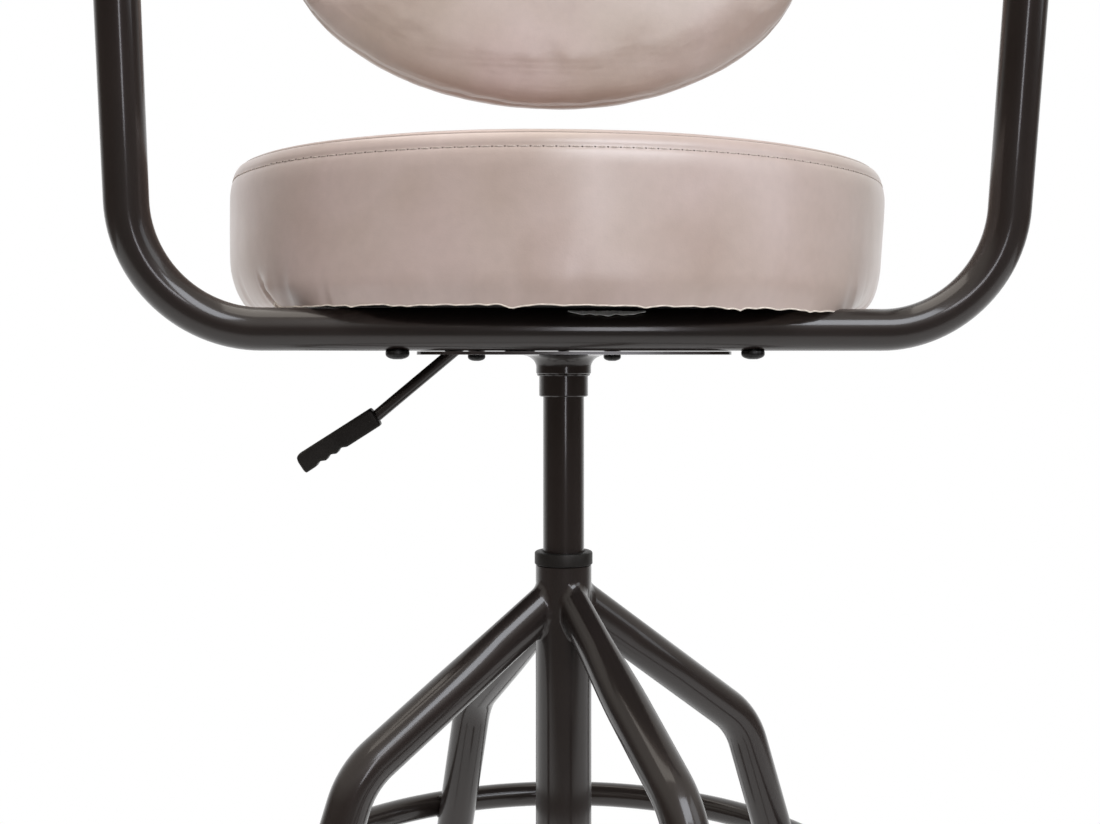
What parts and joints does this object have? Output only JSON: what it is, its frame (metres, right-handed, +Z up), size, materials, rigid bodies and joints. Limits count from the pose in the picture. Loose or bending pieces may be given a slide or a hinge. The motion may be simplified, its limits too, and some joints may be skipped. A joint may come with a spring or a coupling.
{
  "type": "bar stool",
  "caption": "Height-adjustable swivel bar stool with a round cushioned seat, a bent-tube arm frame, an oval back pad, a foot ring and splayed tubular legs.",
  "frame": {"origin": "on the floor under the column axis", "axes": "+Z up, -Y towards the front of the stool, +X towards the right of someone facing the front; the release lever is on the -X side"},
  "size_m": [0.556, 0.5491, 1.1413],
  "materials": {
    "paint": "smooth satin powder coat, brown-black",
    "black_plastic": "moulded, fine matt",
    "steel": "bright zinc plate",
    "black_screw": "black oxide",
    "leather": "faux leather with a soft sheen",
    "foam": "open-cell upholstery foam",
    "plywood": "raw plywood",
    "lining": "thin black non-woven lining"
  },
  "bodies": {
    "base": {"column_tube": "paint", "column_bushing": "black_plastic", "column_floor": "steel", "column_end_cap": "black_plastic", "thrust_bearing": "steel", "leg_front": "paint", "leg_right": "paint", "leg_back": "paint", "leg_left": "paint", "glide_front": "black_plastic", "glide_right": "black_plastic", "glide_back": "black_plastic", "glide_left": "black_plastic", "foot_ring": "paint"},
    "rod": {"piston_rod": "steel", "piston": "black_plastic", "bearing_washer": "steel", "rod_clip": "steel"},
    "seat_unit": {"gas_cylinder": "paint", "cylinder_rod_guide": "black_plastic", "seat_plate": "paint", "socket_neck": "paint", "socket_tube": "paint", "lever_bracket": "paint", "lever_pin": "steel", "arm_frame": "paint", "hoop_connector_left": "steel", "hoop_connector_right": "steel", "back_hoop": "paint", "bolt_front_left": "black_screw", "bolt_front_right": "black_screw", "bolt_rear_left": "black_screw", "bolt_rear_right": "black_screw", "tee_nut_front_left": "steel", "tee_nut_front_right": "steel", "tee_nut_rear_left": "steel", "tee_nut_rear_right": "steel", "spacer_rear_left": "steel", "spacer_rear_right": "steel", "seat_board": "plywood", "seat_foam": "foam", "seat_cover": "leather", "seat_lining": "lining", "back_board": "plywood", "back_foam": "foam", "back_cover": "leather", "back_panel": "lining", "back_bolt_left": "black_screw", "back_bolt_right": "black_screw", "back_tee_nut_left": "steel", "back_tee_nut_right": "steel", "back_saddle_left": "black_plastic", "back_saddle_right": "black_plastic"},
    "lever": {"lever_rod": "paint", "lever_paddle": "black_plastic"},
    "button": {"valve_button": "steel"}
  },
  "joints": [
    {"name": "swivel", "type": "hinge", "parent": "base", "child": "rod", "pos_m": [0, 0, 0.21], "axis": [0, 0, 1], "continuous": true},
    {"name": "lift", "type": "slide", "parent": "rod", "child": "seat_unit", "axis": [0, 0, 1], "range_m": [-0.1, 0.03]},
    {"name": "lever_press", "type": "hinge", "parent": "seat_unit", "child": "lever", "pos_m": [-0.03, 0, 0.6656], "axis": [0, 1, 0], "range_deg": [0, 5], "stiffness_Nm_per_rad": 1},
    {"name": "button_press", "type": "slide", "parent": "seat_unit", "child": "button", "axis": [0, 0, 1], "range_m": [-0.003, 0]}
  ],
  "couplings": [
    {"joint": "button_press", "follows": "lever_press", "m_per_rad": -0.03}
  ]
}
